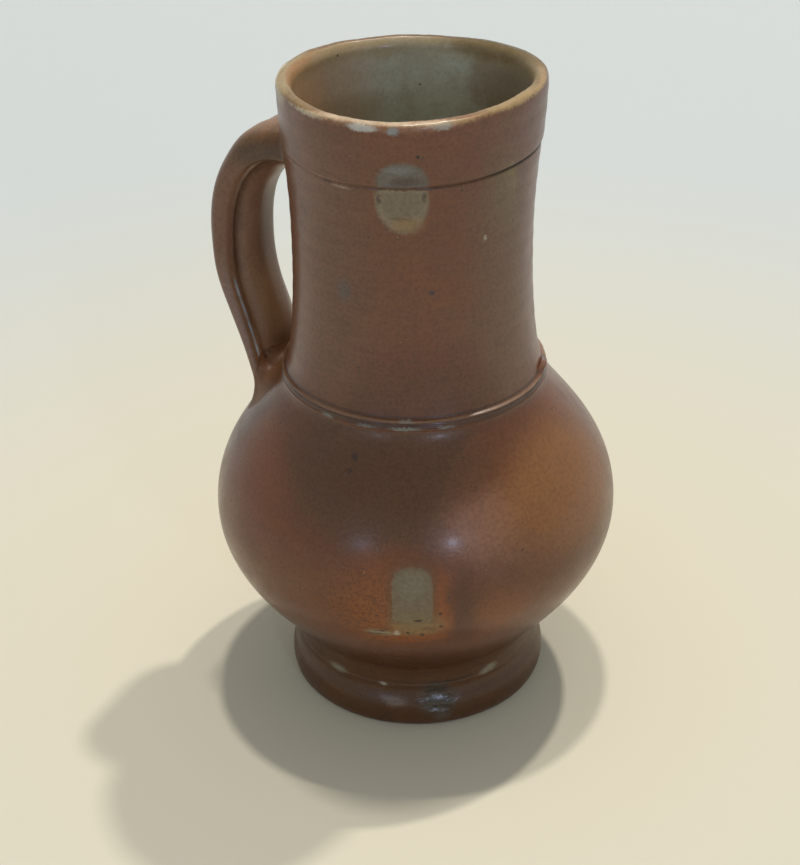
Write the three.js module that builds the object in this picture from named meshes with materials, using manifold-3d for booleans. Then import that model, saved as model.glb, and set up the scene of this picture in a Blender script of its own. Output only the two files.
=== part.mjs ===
// A small salt-glazed stoneware drinking jug, thrown, turned and luted together from its clay parts.
// Millimetres, +Z up. The jug stands on the origin, its axis is Z and its handle is on the -X side.
import * as THREE from 'three';
import { mergeVertices } from 'three/addons/utils/BufferGeometryUtils.js';
import Module from 'manifold-3d';

const wasm = await Module();
wasm.setup();

// Heights, from the resting face up
const jugHeight = 165;
const footHeight = 12.6;
const waistRise = 1.9; // foot's top to the narrow waist above it
const bellyRise = 37.5; // waist to the belly's widest line
const shoulderRise = 38; // widest line to the seam between belly and neck
const neckWaistShare = 0.467; // seam to the neck's narrowest line, as a share of the neck's height

// Outer radii
const waistRadius = 31.3;
const bellyRadius = 51.6;
const seamRadius = 33;
const neckWaistRadius = 29.3;
const rimRadius = 31.9;

// Turns between the outline's long curves
const flareReach = 1.6; // the tight flare above the waist
const flareRise = 3.7;
const flareSlope = 39; // degrees from upright at the top of the flare
const seamReach = 1.4; // the shoulder's turn up into the seam
const seamTurnRise = 4;
const shoulderSlope = 34; // degrees from upright at the foot of that turn
const rimFlare = 0.6; // how far the top of the neck still swings out below the lip

// Foot ring
const ledgeWidth = 1; // step left bare outside the waist
const footSpread = 2.7; // how far the foot stands out past the waist
const toeInset = 2; // widest line to the edge of the resting face
const toeHeight = 3.4; // height of the widest line
const footLap = 6.3; // how far the ring reaches in under the waist
const footEdge = 0.6; // rounding of the ledge

// Walls
const bellyWall = 4.5;
const floorThickness = 8;
const seamWall = 5;
const neckWall = 3.5;
const lipThickness = 3.8;
const lipRise = 3.2; // height of the rounded part of the lip

// Turned rim band and its incised line
const bandHeight = 15.35;
const bandStep = 0.25;
const lineWidth = 0.8;
const lineDepth = 0.5;

// Lap joint between belly and neck, and the cordon pressed into its notch
const spigotHeight = 3;
const spigotThickness = 1.6;
const notchDepth = 1.3;
const cordonHeight = 4;
const cordonProud = 1;
const cordonFineProud = 0.5;

// Pulled strap handle
const rootDrop = 20.3; // lip to the middle of the root on the neck
const crownReach = 18.2; // neck's narrowest line out to the middle of the strap at its crown
const crownRise = 27; // seam to the height of the crown
const landingDrop = 10.2; // seam down to the middle of the landing on the shoulder
const rootDepth = 2; // where the strap's middle line starts inside the neck's face
const rootLift = 0.9; // how far the strap rises as it leaves the neck
const landingDepth = 0.3; // where the middle line ends inside the shoulder's face
const landingLean = 3.4; // how far the lower half stands out before it comes in to the landing
const landingTail = 3; // straight end of the strap, cut away inside the shoulder
const strapWidth = 24.3;
const strapTipWidth = 23.4;
const strapThickness = 12.1;
const strapTipThickness = 4.4;
const strapRoundness = 0.68; // 1 is an ellipse, less is squarer at the edges
const channelDepth = 0.7; // finger channel down the outer face
const dishDepth = 0.5; // hollow of the inner face

// Clay worked round the two ends of the handle
const rootFilletOut = 1.2;
const rootFilletIn = 0.8;
const landingFilletOut = 3;
const landingFilletIn = 8.5;
const filletEdge = 0.3; // thickness where the worked clay feathers out

// The mouth as the potter left it: out of round, leaning and a little uneven
const mouthShift = 0.87;
const mouthShiftTurn = 112; // degrees about the axis, from +X towards +Y
const ovalSwell = 0.6;
const ovalTurn = 77;
const lobeSwell = 0.94;
const lobeTurn = 48;
const rimTilt = 0.3;
const rimTiltTurn = -56;

const jointGap = 0.3; // room left between neighbouring pieces
const turns = 48; // facets round the axis
const strapSides = 24;
const strapSteps = 32;

// Levels that the heights add up to
const waistLevel = footHeight + waistRise;
const bellyLevel = waistLevel + bellyRise;
const seamLevel = bellyLevel + shoulderRise;
const rimLevel = jugHeight;
const neckWaistRise = (rimLevel - seamLevel) * neckWaistShare;
const neckWaistLevel = seamLevel + neckWaistRise;
const upperNeckRise = rimLevel - neckWaistLevel;
const lineLevel = rimLevel - bandHeight;

const footSeatRadius = waistRadius - footLap;
const seamInnerRadius = seamRadius - seamWall;
const spigotRadius = seamInnerRadius + spigotThickness;
const notchRadius = seamRadius - notchDepth;

const point = (radius, level) => new THREE.Vector2(radius, level);
const radians = THREE.MathUtils.degToRad;

// Radius of a rising outline at one level.
function radiusAt(outline, level) {
  const upper = outline.findIndex((p) => p.y >= level);
  if (upper < 0) return outline[outline.length - 1].x;
  if (upper === 0) return outline[0].x;
  const [a, b] = [outline[upper - 1], outline[upper]];
  return a.x + ((b.x - a.x) * (level - a.y)) / (b.y - a.y);
}

// Moves an outline inwards by a wall's thickness.
function insetOutline(outline, wall) {
  return outline.map((p, i) => {
    const before = outline[Math.max(i - 1, 0)];
    const after = outline[Math.min(i + 1, outline.length - 1)];
    const along = after.clone().sub(before).normalize();
    return point(p.x - along.y * wall, p.y + along.x * wall);
  });
}

const between = (outline, low, high) => outline.filter((p) => p.y > low && p.y < high);

// Outer outline of the belly: a tight flare out of the waist, the swell, the shoulder, and a turn up to the seam.
function bellyOutline() {
  const flare = point(waistRadius + flareReach, waistLevel + flareRise);
  const flareTurn = radians(flareSlope);
  const flarePull = bellyRise * 0.3;
  const shoulderEnd = point(seamRadius + seamReach, seamLevel - seamTurnRise);
  const shoulderTurn = radians(shoulderSlope);
  const shoulderPull = shoulderRise * 0.32;
  const path = new THREE.Path();
  path.moveTo(waistRadius, waistLevel);
  path.quadraticCurveTo(waistRadius, waistLevel + flareRise / 2, flare.x, flare.y);
  path.bezierCurveTo(
    flare.x + flarePull * Math.sin(flareTurn), flare.y + flarePull * Math.cos(flareTurn),
    bellyRadius, bellyLevel - bellyRise * 0.4,
    bellyRadius, bellyLevel,
  );
  path.bezierCurveTo(
    bellyRadius, bellyLevel + shoulderRise * 0.41,
    shoulderEnd.x + shoulderPull * Math.sin(shoulderTurn), shoulderEnd.y - shoulderPull * Math.cos(shoulderTurn),
    shoulderEnd.x, shoulderEnd.y,
  );
  path.quadraticCurveTo(seamRadius, seamLevel - seamTurnRise / 2, seamRadius, seamLevel);
  return path.getPoints(7);
}

// Outer outline of the neck up to the lip, without the rim band.
function neckOutline() {
  const path = new THREE.Path();
  path.moveTo(seamRadius, seamLevel);
  path.bezierCurveTo(
    neckWaistRadius + (seamRadius - neckWaistRadius) * 0.19, seamLevel + neckWaistRise * 0.14,
    neckWaistRadius, neckWaistLevel - neckWaistRise * 0.37,
    neckWaistRadius, neckWaistLevel,
  );
  path.bezierCurveTo(
    neckWaistRadius, neckWaistLevel + upperNeckRise * 0.375,
    rimRadius - bandStep - rimFlare, neckWaistLevel + upperNeckRise * 0.55,
    rimRadius - bandStep, rimLevel - lipRise,
  );
  return path.getPoints(8);
}

const bellySide = bellyOutline();
const neckSide = neckOutline();

// Levels and radii of the cordon's two beads and the line between them.
const cordonLow = seamLevel - cordonHeight / 2;
const cordonHigh = seamLevel + cordonHeight / 2;
const cordonFace = [
  point(radiusAt(bellySide, cordonLow) + jointGap, cordonLow),
  point(seamRadius + cordonFineProud, seamLevel - cordonHeight * 0.2),
  point(seamRadius + cordonFineProud * 0.4, seamLevel + cordonHeight * 0.04),
  point(seamRadius + cordonProud, seamLevel + cordonHeight * 0.3),
  point(radiusAt(neckSide, cordonHigh) + jointGap, cordonHigh),
];

// The wall that the handle and its worked clay sit on, from the waist to the lip.
const wallSide = [
  ...between(bellySide, 0, cordonLow),
  ...cordonFace,
  ...between(neckSide, cordonHigh, lineLevel),
  ...between(neckSide, lineLevel, rimLevel).map((p) => point(p.x + bandStep, p.y)),
];

// The round mouth drawn out of true. Below the neck's narrowest line nothing moves.
function asThrown(geometry) {
  const spots = geometry.attributes.position;
  for (let i = 0; i < spots.count; i += 1) {
    const [x, y, z] = [spots.getX(i), spots.getY(i), spots.getZ(i)];
    const share = THREE.MathUtils.smoothstep(z, neckWaistLevel, rimLevel);
    const radius = Math.hypot(x, y);
    if (share === 0 || radius === 0) continue;
    const turn = Math.atan2(y, x);
    const swell = mouthShift * Math.cos(turn - radians(mouthShiftTurn))
      + ovalSwell * Math.cos(2 * (turn - radians(ovalTurn)))
      + lobeSwell * Math.cos(3 * (turn - radians(lobeTurn)));
    const grown = 1 + (share * swell) / Math.max(radius, rimRadius);
    const lift = rimTilt * share * Math.cos(turn - radians(rimTiltTurn));
    spots.setXYZ(i, x * grown, y * grown, z + lift);
  }
  return geometry;
}

function closedShape(geometry) {
  geometry.deleteAttribute('normal');
  geometry.deleteAttribute('uv');
  return mergeVertices(geometry, 1e-4);
}

// Turns a closed profile, or one that starts and ends on the axis, about Z.
function turned(profile) {
  const shape = closedShape(new THREE.LatheGeometry(profile, turns));
  return shape.rotateX(Math.PI / 2);
}

const closed = (profile) => [...profile, profile[0].clone()];

function footRing() {
  const widest = waistRadius + footSpread;
  const top = waistRadius + ledgeWidth;
  const path = new THREE.Path();
  path.moveTo(widest - toeInset, 0);
  path.quadraticCurveTo(widest, 0, widest, toeHeight);
  path.quadraticCurveTo(widest, footHeight * 0.6, top, footHeight - footEdge);
  path.quadraticCurveTo(top, footHeight, top - footEdge, footHeight);
  const side = path.getPoints(4);
  return turned(closed([...side, point(footSeatRadius, footHeight), point(footSeatRadius, 0)]));
}

function belly() {
  const side = between(bellySide, 0, cordonLow);
  const inner = insetOutline(side, bellyWall).filter((p, i) => i % 2 === 0);
  const heel = inner.find((p) => p.y > waistLevel + bellyWall && p.x > footSeatRadius);
  const inside = inner.filter((p) => p.y >= heel.y && p.y < seamLevel - cordonHeight);
  const bowl = new THREE.Path();
  bowl.moveTo(0, floorThickness);
  bowl.bezierCurveTo(
    heel.x * 0.45, floorThickness,
    heel.x * 0.8, floorThickness + (heel.y - floorThickness) * 0.35,
    heel.x, heel.y,
  );
  const seat = footSeatRadius - jointGap;
  return turned([
    point(0, 0),
    point(seat, 0),
    point(seat, footHeight + jointGap),
    point(waistRadius, footHeight + jointGap),
    ...side,
    point(radiusAt(bellySide, cordonLow), cordonLow),
    point(notchRadius, seamLevel - jointGap / 2),
    point(spigotRadius, seamLevel - jointGap / 2),
    point(spigotRadius, seamLevel + spigotHeight),
    point(seamInnerRadius, seamLevel + spigotHeight),
    point(seamInnerRadius, seamLevel),
    ...inside.reverse(),
    ...bowl.getPoints(6).reverse().slice(1),
  ]);
}

function neck() {
  const bandFoot = lineLevel + lineWidth / 2;
  const inside = new THREE.Path();
  const waistInner = neckWaistRadius - neckWall;
  const lipInner = rimRadius - lipThickness;
  inside.moveTo(lipInner, rimLevel - lipRise);
  inside.bezierCurveTo(
    lipInner - rimFlare, neckWaistLevel + upperNeckRise * 0.55,
    waistInner, neckWaistLevel + upperNeckRise * 0.375,
    waistInner, neckWaistLevel,
  );
  inside.bezierCurveTo(
    waistInner, neckWaistLevel - neckWaistRise * 0.5,
    seamInnerRadius, seamLevel + neckWaistRise * 0.3,
    seamInnerRadius, seamLevel + spigotHeight + jointGap,
  );
  const lip = new THREE.EllipseCurve(
    rimRadius - lipThickness / 2, rimLevel - lipRise, lipThickness / 2, lipRise, 0, Math.PI,
  );
  return turned(closed([
    point(notchRadius, seamLevel + jointGap / 2),
    point(radiusAt(neckSide, cordonHigh), cordonHigh),
    ...between(neckSide, cordonHigh, lineLevel - lineWidth / 2),
    point(radiusAt(neckSide, lineLevel - lineWidth / 2), lineLevel - lineWidth / 2),
    point(radiusAt(neckSide, lineLevel) - lineDepth, lineLevel),
    point(radiusAt(neckSide, bandFoot) + bandStep, bandFoot),
    ...between(neckSide, bandFoot, rimLevel - lipRise).map((p) => point(p.x + bandStep, p.y)),
    ...lip.getPoints(8),
    ...inside.getPoints(5).slice(1),
    point(spigotRadius + jointGap, seamLevel + spigotHeight + jointGap),
    point(spigotRadius + jointGap, seamLevel + jointGap / 2),
  ]));
}

function neckCordon() {
  return turned(closed([...cordonFace, point(notchRadius + jointGap * 1.5, seamLevel)]));
}

// Middle line of the strap, in radius and level, from inside the neck's wall to inside the shoulder's.
function strapLine() {
  const rootLevel = rimLevel - rootDrop;
  const root = point(radiusAt(wallSide, rootLevel) - rootDepth, rootLevel);
  const crown = point(neckWaistRadius + crownReach, seamLevel + crownRise);
  const landingLevel = seamLevel - landingDrop;
  const landing = point(radiusAt(wallSide, landingLevel) - landingDepth, landingLevel);
  const line = new THREE.CurvePath();
  line.add(new THREE.CubicBezierCurve(
    root,
    point(root.x + crownReach * 0.56, root.y + rootLift),
    point(crown.x, crown.y + (root.y - crown.y) * 0.77),
    crown,
  ));
  line.add(new THREE.CubicBezierCurve(
    crown,
    point(crown.x, crown.y - (crown.y - landing.y) * 0.35),
    point(landing.x + landingLean, landing.y + (crown.y - landing.y) * 0.52),
    landing,
  ));
  const tail = line.getTangentAt(1).multiplyScalar(landingTail);
  line.add(new THREE.LineCurve(landing, landing.clone().add(tail)));
  return line;
}

const strap = strapLine();
const strapLength = strap.getLength();
const middleShare = 1 / 2;

// A point on the strap: share runs from root to landing, and (c, s) lies on the unit circle round its section.
function strapPoint(share, c, s) {
  const at = THREE.MathUtils.clamp(share, 0, 1);
  const centre = strap.getPointAt(at);
  const along = strap.getTangentAt(at);
  const halfWidth = THREE.MathUtils.lerp(strapWidth, strapTipWidth, at) / 2;
  const halfThickness = THREE.MathUtils.lerp(strapThickness, strapTipThickness, at) / 2;
  const squared = (value) => Math.sign(value) * Math.abs(value) ** strapRoundness;
  const across = halfWidth * squared(c);
  const hollow = (s > 0 ? channelDepth : dishDepth) * (1 - squared(c) ** 2) ** 2;
  const outward = squared(s) * (halfThickness - hollow);
  return new THREE.Vector3(
    -(centre.x - along.y * outward),
    -across,
    centre.y + along.x * outward,
  );
}

// Moves every point of a straight unit bar onto the strap.
function bentStrap() {
  const bar = closedShape(new THREE.CylinderGeometry(1, 1, 1, strapSides, strapSteps));
  const spots = bar.attributes.position;
  for (let i = 0; i < spots.count; i += 1) {
    const place = strapPoint(middleShare - spots.getY(i), spots.getX(i), spots.getZ(i));
    spots.setXYZ(i, place.x, place.y, place.z);
  }
  return bar;
}

function toManifold(geometry) {
  return new wasm.Manifold(new wasm.Mesh({
    numProp: 3,
    vertProperties: new Float32Array(geometry.attributes.position.array),
    triVerts: new Uint32Array(geometry.index.array),
  }));
}

function fromManifold(solid) {
  const mesh = solid.getMesh();
  const geometry = new THREE.BufferGeometry();
  geometry.setAttribute('position', new THREE.BufferAttribute(new Float32Array(mesh.vertProperties), 3));
  geometry.setIndex(new THREE.BufferAttribute(new Uint32Array(mesh.triVerts), 1));
  return geometry;
}

// The strap with both ends cut to the wall that they are pressed on.
function handle() {
  const low = wallSide[0];
  const high = wallSide[wallSide.length - 1];
  const wall = turned([
    point(0, low.y),
    ...wallSide.map((p) => point(p.x + jointGap, p.y)),
    point(0, high.y),
  ]);
  return fromManifold(toManifold(bentStrap()).subtract(toManifold(wall)));
}

const wallRadius = (level) => radiusAt(wallSide, level) + jointGap;
const outsideWall = (place) => Math.hypot(place.x, place.y) - wallRadius(place.z);

// Puts a point on the wall at its own height and bearing.
function ontoWall(place) {
  const scale = wallRadius(place.z) / Math.hypot(place.x, place.y);
  return new THREE.Vector3(place.x * scale, place.y * scale, place.z);
}

function wallNormal(place) {
  const slope = (wallRadius(place.z + jointGap) - wallRadius(place.z - jointGap)) / (2 * jointGap);
  const radius = Math.hypot(place.x, place.y);
  return new THREE.Vector3(place.x / radius, place.y / radius, -slope).normalize();
}

function strapNormal(share, turn) {
  const turnStep = 0.02;
  const shareStep = 0.005;
  const spot = (at, angle) => strapPoint(at, Math.cos(angle), Math.sin(angle));
  const around = spot(share, turn + turnStep).sub(spot(share, turn - turnStep));
  const along = spot(share + shareStep, turn).sub(spot(share - shareStep, turn));
  return around.cross(along).normalize();
}

// A fillet of soft clay worked into the corner between the strap and the wall at one end of the handle.
function workedClay(end, legOut, legIn) {
  const rounds = 28;
  const steps = 3; // up the strap, down the wall and along the free face
  const sections = [];
  for (let k = 0; k < rounds; k += 1) {
    const turn = (2 * Math.PI * k) / rounds;
    const [c, s] = [Math.cos(turn), Math.sin(turn)];
    let [buried, clear] = [end, middleShare];
    for (let halving = 0; halving < 30; halving += 1) {
      const middle = (buried + clear) / 2;
      if (outsideWall(strapPoint(middle, c, s)) > 0) clear = middle;
      else buried = middle;
    }
    const leg = THREE.MathUtils.lerp(legIn, legOut, (1 + s) / 2);
    const away = Math.sign(middleShare - end);
    const corner = strapPoint(clear, c, s);
    const strapSide = [];
    for (let i = steps; i >= 0; i -= 1) {
      const share = clear + (away * leg * i) / steps / strapLength;
      strapSide.push(strapPoint(share, c, s).addScaledVector(strapNormal(share, turn), jointGap));
    }
    const up = wallNormal(corner);
    const out = strapNormal(clear, turn);
    const spread = out.clone().addScaledVector(up, -out.dot(up)).normalize();
    const wallLine = [];
    for (let i = 1; i <= steps; i += 1) {
      wallLine.push(ontoWall(corner.clone().addScaledVector(spread, (leg * i) / steps)));
    }
    const inside = ontoWall(strapSide[steps].clone());
    strapSide[steps] = inside;
    const tip = wallLine[steps - 1].clone().addScaledVector(wallNormal(wallLine[steps - 1]), filletEdge);
    const root = strapSide[0].clone().addScaledVector(strapNormal(clear, turn), filletEdge);
    const bend = inside.clone().addScaledVector(out, filletEdge).addScaledVector(up, filletEdge);
    const face = new THREE.QuadraticBezierCurve3(tip, bend, root).getPoints(steps);
    const section = [...strapSide, ...wallLine, ...face];
    sections.push(away < 0 ? section : section.reverse()); // keeps the faces outward at both ends
  }
  return ringOfSections(sections);
}

// Joins closed sections, each with as many points, into one ring.
function ringOfSections(sections) {
  const count = sections[0].length;
  const index = [];
  for (let k = 0; k < sections.length; k += 1) {
    const next = (k + 1) % sections.length;
    for (let i = 0; i < count; i += 1) {
      const [a, b] = [k * count + i, k * count + ((i + 1) % count)];
      const [d, e] = [next * count + i, next * count + ((i + 1) % count)];
      index.push(a, b, e, a, e, d);
    }
  }
  const ring = new THREE.BufferGeometry().setFromPoints(sections.flat());
  ring.setIndex(index);
  return ring;
}

const saltGlaze = { roughness: 0.38, metalness: 0 };
const brown = new THREE.Color('#6d4631');
const greyBrown = new THREE.Color('#6a5343');
const darkBrown = new THREE.Color('#4c3124');

function piece(name, geometry, color) {
  const shape = asThrown(geometry);
  shape.computeVertexNormals();
  const mesh = new THREE.Mesh(shape, new THREE.MeshStandardMaterial({ color, ...saltGlaze }));
  mesh.name = name;
  return mesh;
}

const jug = new THREE.Group();
jug.add(
  piece('foot_ring', footRing(), darkBrown),
  piece('belly', belly(), brown),
  piece('neck', neck(), greyBrown),
  piece('neck_cordon', neckCordon(), greyBrown),
  piece('handle', handle(), darkBrown),
  piece('handle_root_luting', workedClay(0, rootFilletOut, rootFilletIn), greyBrown),
  piece('handle_landing_luting', workedClay(1, landingFilletOut, landingFilletIn), darkBrown),
);

export default jug;
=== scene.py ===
# Looks of the salt-glazed stoneware jug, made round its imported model.
# Sizes are millimetres in the dictionaries; each finished mesh is scaled to metres.
import math

import bmesh
import bpy
from mathutils import Matrix, Vector, noise
from mathutils.geometry import interpolate_bezier


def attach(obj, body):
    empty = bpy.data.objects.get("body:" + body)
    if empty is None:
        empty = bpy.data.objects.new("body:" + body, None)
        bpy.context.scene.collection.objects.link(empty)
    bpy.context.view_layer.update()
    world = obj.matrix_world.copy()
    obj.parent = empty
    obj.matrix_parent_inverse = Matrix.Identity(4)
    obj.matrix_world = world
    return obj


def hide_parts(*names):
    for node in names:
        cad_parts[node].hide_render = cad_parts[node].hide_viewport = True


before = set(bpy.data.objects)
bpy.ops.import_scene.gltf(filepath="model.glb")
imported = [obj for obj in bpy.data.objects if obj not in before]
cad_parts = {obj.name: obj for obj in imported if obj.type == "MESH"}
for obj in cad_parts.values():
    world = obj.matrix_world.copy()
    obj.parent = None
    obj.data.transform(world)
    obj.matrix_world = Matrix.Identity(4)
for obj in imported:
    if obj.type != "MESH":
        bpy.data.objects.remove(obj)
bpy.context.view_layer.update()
print("frame loaded:", len(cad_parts), "nodes")

millimetre = 0.001

# The jug's outline, the same heights and outer radii that its solids have
jug = {
    "footHeight": 12.6,
    "waistLevel": 14.5,
    "bellyLevel": 52.0,
    "seamLevel": 90.0,
    "neckWaistLevel": 125.03,
    "lineLevel": 149.65,
    "rimLevel": 165.0,
    "waistRadius": 31.3,
    "bellyRadius": 51.6,
    "seamRadius": 33.0,
    "neckWaistRadius": 29.3,
    "rimRadius": 31.9,
    "flareAngle": 39,
    "shoulderAngle": 34,
    "lipRise": 3.2,
    "bandStep": 0.25,
}

# How far the soft mouth was pulled out of round, and which way
mouth = {
    "shift": 0.87,
    "shiftTurn": 112,
    "oval": 0.6,
    "ovalTurn": 77,
    "lobe": 0.94,
    "lobeTurn": 48,
    "tilt": 0.3,
    "tiltTurn": -56,
}


def at(radius, level):
    return Vector((radius, 0.0, level))


def bend(start, pullOut, pullIn, end, steps):
    return interpolate_bezier(start, pullOut, pullIn, end, steps + 1)


def corner(start, turn, end, steps):
    return bend(start, start.lerp(turn, 2 / 3), end.lerp(turn, 2 / 3), end, steps)


def joined(*runs):
    line = []
    for run in runs:
        for spot in run:
            if not line or (spot - line[-1]).length > 1e-5:
                line.append(spot.copy())
    return line


def radiusAt(line, level):
    for low, high in zip(line, line[1:]):
        if low.z <= level <= high.z and high.z > low.z:
            return low.x + (high.x - low.x) * (level - low.z) / (high.z - low.z)
    return line[0].x if level < line[0].z else line[-1].x


def inset(line, wall):
    # The outline again, a wall further in
    moved = []
    for i, spot in enumerate(line):
        along = (line[min(i + 1, len(line) - 1)] - line[max(i - 1, 0)]).normalized()
        moved.append(at(spot.x - along.z * wall, spot.z + along.x * wall))
    return moved


def blendUp(value, low, high):
    share = min(max((value - low) / (high - low), 0.0), 1.0)
    return share * share * (3 - 2 * share)


def turnGap(turn, centre):
    return (turn - centre + 180) % 360 - 180


def asThrown(spot):
    # Pulls the mouth out of round, more and more from the neck's waist upwards.
    share = blendUp(spot.z, jug["neckWaistLevel"], jug["rimLevel"])
    radius = math.hypot(spot.x, spot.y)
    if share == 0 or radius == 0:
        return spot.copy()
    turn = math.degrees(math.atan2(spot.y, spot.x))
    swell = mouth["shift"] * math.cos(math.radians(turn - mouth["shiftTurn"]))
    swell += mouth["oval"] * math.cos(math.radians(2 * (turn - mouth["ovalTurn"])))
    swell += mouth["lobe"] * math.cos(math.radians(3 * (turn - mouth["lobeTurn"])))
    grown = 1 + share * swell / max(radius, jug["rimRadius"])
    lift = mouth["tilt"] * share * math.cos(math.radians(turn - mouth["tiltTurn"]))
    return Vector((spot.x * grown, spot.y * grown, spot.z + lift))


def pushedOut(spot, amount):
    # Moves a place away from the axis.
    radius = math.hypot(spot.x, spot.y)
    scale = 1 + amount / radius if radius > 1 else 1
    return Vector((spot.x * scale, spot.y * scale, spot.z))


def turnedOnWheel(profile, steps, closed):
    mesh = bmesh.new()
    points = [mesh.verts.new(spot) for spot in profile]
    for low, high in zip(points, points[1:]):
        mesh.edges.new((low, high))
    if closed:
        mesh.edges.new((points[-1], points[0]))
    bmesh.ops.spin(
        mesh, geom=mesh.verts[:] + mesh.edges[:], cent=(0, 0, 0), axis=(0, 0, 1), dvec=(0, 0, 0),
        angle=2 * math.pi, steps=steps, use_merge=True, use_duplicate=False,
    )
    bmesh.ops.remove_doubles(mesh, verts=mesh.verts[:], dist=1e-4)
    bmesh.ops.recalc_face_normals(mesh, faces=mesh.faces[:])
    return mesh


def straightTube(sides, steps, capped):
    # A tube one unit long, cut into rows that are bent into shape afterwards
    mesh = bmesh.new()
    bmesh.ops.create_cone(
        mesh, cap_ends=capped, cap_tris=False, segments=sides, radius1=1, radius2=1, depth=1,
    )
    bars = [edge for edge in mesh.edges if abs(edge.verts[0].co.z - edge.verts[1].co.z) > 0.5]
    bmesh.ops.subdivide_edges(mesh, edges=bars, cuts=steps - 1, use_grid_fill=True)
    return mesh


def placed(name, mesh, material):
    bmesh.ops.scale(mesh, vec=(millimetre,) * 3, verts=mesh.verts[:])
    for face in mesh.faces:
        face.smooth = True
    data = bpy.data.meshes.new(name)
    mesh.to_mesh(data)
    mesh.free()
    data.materials.append(material)
    piece = bpy.data.objects.new(name, data)
    bpy.context.scene.collection.objects.link(piece)
    return piece


def finished(name, mesh, node, glaze):
    for vertex in mesh.verts:
        vertex.co = asThrown(vertex.co)
    piece = placed(name, mesh, glaze)
    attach(piece, "root")
    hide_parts(node)
    print(name, "made:", len(piece.data.polygons), "faces")
    return piece


# Outline of belly and neck, from the waist above the foot up to the lip
def bellyOutline():
    waist = at(jug["waistRadius"], jug["waistLevel"])
    flare = at(waist.x + 1.6, waist.z + 3.7)
    lowerRise = jug["bellyLevel"] - jug["waistLevel"]
    widest = at(jug["bellyRadius"], jug["bellyLevel"])
    upperRise = jug["seamLevel"] - jug["bellyLevel"]
    seam = at(jug["seamRadius"], jug["seamLevel"])
    shoulder = at(seam.x + 1.4, seam.z - 4)
    flaring, shouldering = math.radians(jug["flareAngle"]), math.radians(jug["shoulderAngle"])
    flareWay = at(math.sin(flaring), math.cos(flaring))
    shoulderWay = at(math.sin(shouldering), -math.cos(shouldering))
    return joined(
        corner(waist, at(waist.x, waist.z + 1.85), flare, 6),
        bend(flare, flare + flareWay * lowerRise * 0.3, widest - at(0, lowerRise * 0.4), widest, 44),
        bend(
            widest, widest + at(0, upperRise * 0.41),
            shoulder + shoulderWay * upperRise * 0.32, shoulder, 44,
        ),
        corner(shoulder, at(seam.x, seam.z - 2), seam, 6),
    )


def neckOutline():
    seam = at(jug["seamRadius"], jug["seamLevel"])
    waist = at(jug["neckWaistRadius"], jug["neckWaistLevel"])
    lowerRise = waist.z - seam.z
    upperRise = jug["rimLevel"] - waist.z
    lip = at(jug["rimRadius"] - jug["bandStep"], jug["rimLevel"] - jug["lipRise"])
    return joined(
        bend(
            seam, at(waist.x + (seam.x - waist.x) * 0.19, seam.z + lowerRise * 0.14),
            at(waist.x, waist.z - lowerRise * 0.37), waist, 36,
        ),
        bend(
            waist, at(waist.x, waist.z + upperRise * 0.375),
            at(lip.x - 0.6, waist.z + upperRise * 0.55), lip, 60,
        ),
    )


bellySide = bellyOutline()
neckSide = neckOutline()

# Foot ring: turned, with a bulging side and a faint ledge, and blended into the belly above it
foot = {
    "spread": 2.7,
    "toeInset": 2.0,
    "toeHeight": 3.8,
    "sideLevel": 8.3,
    "sideInset": 1.0,
    "ledge": 0.7,
    "blend": 5.6,
    "seat": 25.0,
    "wobble": 0.12,
    "chip": {"turn": -56, "level": 7.6, "across": 4.0, "up": 3.0, "depth": 0.5, "ragged": 0.35},
}


def makeFoot(glaze):
    waist = jug["waistRadius"]
    widest = waist + foot["spread"]
    top = waist + foot["ledge"]
    high = jug["footHeight"]
    side = at(widest - foot["sideInset"], foot["sideLevel"])
    feather = at(radiusAt(bellySide, high + foot["blend"]) - 0.08, high + foot["blend"])
    profile = joined(
        [at(foot["seat"], 0)],
        bend(at(foot["seat"], 0), at(27, 0), at(30, 0), at(widest - foot["toeInset"], 0), 6),  # flat seat
        corner(at(widest - foot["toeInset"], 0), at(widest, 0), at(widest, foot["toeHeight"]), 12),
        corner(at(widest, foot["toeHeight"]), at(widest, side.z - 1.7), side, 12),
        bend(side, at(side.x - 0.5, side.z + 0.85), at(top - 0.05, high - 2.3), at(top, high - 1.1), 9),
        corner(at(top, high - 1.1), at(top + 0.05, high - 0.6), at(top - 0.12, high - 0.25), 6),
        bend(at(top - 0.12, high - 0.25), at(top - 0.05, high + 1.2), feather - at(1.5, 2.2), feather, 16),
        [feather - at(0.6, 0), at(foot["seat"], high + 1)],
    )
    mesh = turnedOnWheel(profile, 200, True)
    chip = foot["chip"]
    for vertex in mesh.verts:
        spot = vertex.co
        if spot.z < 0.2 or math.hypot(spot.x, spot.y) < 31:
            continue
        amount = foot["wobble"] * noise.noise(spot * 0.09)
        amount -= carved(spot, chip)
        vertex.co = pushedOut(spot, amount)
    return finished("footRing", mesh, "foot_ring", glaze)


def carved(spot, scar):
    # How deep a kiln scar goes at one place: a flat hollow with a ragged edge
    turn = math.degrees(math.atan2(spot.y, spot.x))
    across = math.radians(turnGap(turn, scar["turn"])) * math.hypot(spot.x, spot.y) / scar["across"]
    up = (spot.z - scar["level"]) / scar["up"]
    ragged = scar.get("ragged", 0.1) * noise.noise(spot * 0.9)
    away = math.hypot(across, up) + ragged
    kept = 1 - blendUp(away, 0.84, 1.04)
    if "above" in scar:
        kept *= blendUp(spot.z, scar["above"] - 0.3, scar["above"] + 0.3)
    if "below" in scar:
        kept *= 1 - blendUp(spot.z, scar["below"] - 0.3, scar["below"] + 0.3)
    return scar["depth"] * kept


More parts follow.
